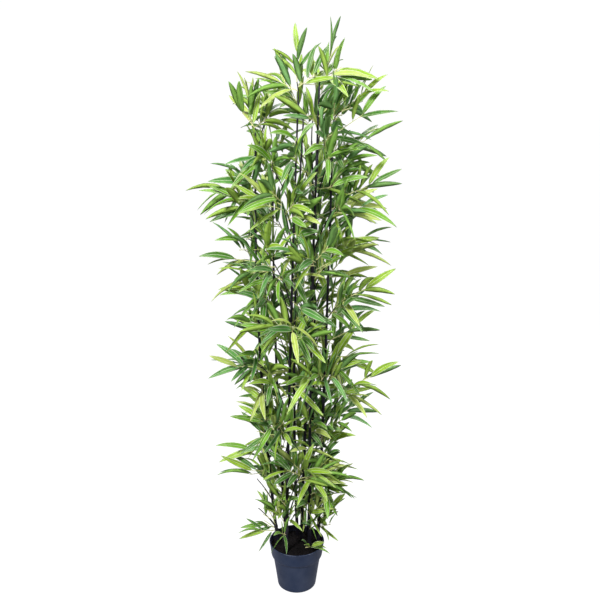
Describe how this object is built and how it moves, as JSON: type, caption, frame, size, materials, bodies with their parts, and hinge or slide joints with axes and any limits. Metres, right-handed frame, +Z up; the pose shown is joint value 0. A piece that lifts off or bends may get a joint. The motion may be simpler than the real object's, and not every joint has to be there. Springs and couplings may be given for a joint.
{
  "type": "artificial potted bamboo",
  "caption": "Slender artificial bamboo with thin black canes, wire side shoots and narrow green leaves, standing in a dark nursery pot.",
  "frame": {"origin": "middle of the pot's flat underside", "axes": "+Z up along the canes, +X to the right and -Y to the front as the plant is seen in the picture"},
  "size_m": [0.6452, 0.5594, 1.7926],
  "materials": {
    "pot": "charcoal blue moulded polypropylene, satin",
    "filling": "dark brown-black cement mix, rough",
    "cane": "near-black coated cane with raised nodes, satin",
    "wire": "black plastic-coated wire",
    "foliage": "printed polyester leaves in several greens, matt with a faint weave"
  },
  "bodies": {
    "root": {"bough_bare_1": "wire", "bough_bare_2": "wire", "bough_left_5": "wire", "bough_left_7": "wire", "bough_right_6": "wire", "cane_back_left": "cane", "cane_back_right": "cane", "cane_centre": "cane", "cane_front": "cane", "cane_left": "cane", "cane_middle": "cane", "cane_right": "cane", "cane_tall": "cane", "filling": "filling", "foliage_back_2": "foliage", "foliage_back_3": "foliage", "foliage_back_4": "foliage", "foliage_back_5": "foliage", "foliage_back_6": "foliage", "foliage_back_7": "foliage", "foliage_back_8": "foliage", "foliage_back_9": "foliage", "foliage_front_1": "foliage", "foliage_front_2": "foliage", "foliage_front_3": "foliage", "foliage_front_4": "foliage", "foliage_front_5": "foliage", "foliage_front_6": "foliage", "foliage_front_7": "foliage", "foliage_front_8": "foliage", "foliage_front_9": "foliage", "foliage_left_1": "foliage", "foliage_left_2": "foliage", "foliage_left_3": "foliage", "foliage_left_4": "foliage", "foliage_left_5": "foliage", "foliage_left_6": "foliage", "foliage_left_7": "foliage", "foliage_left_8": "foliage", "foliage_low": "foliage", "foliage_right_1": "foliage", "foliage_right_10": "foliage", "foliage_right_2": "foliage", "foliage_right_3": "foliage", "foliage_right_4": "foliage", "foliage_right_5": "foliage", "foliage_right_6": "foliage", "foliage_right_7": "foliage", "foliage_right_8": "foliage", "foliage_right_9": "foliage", "foliage_top_back_left": "foliage", "foliage_top_back_right": "foliage", "foliage_top_centre": "foliage", "foliage_top_front": "foliage", "foliage_top_left": "foliage", "foliage_top_middle": "foliage", "foliage_top_right": "foliage", "foliage_top_tall": "foliage", "pot": "pot"}
  },
  "joints": []
}
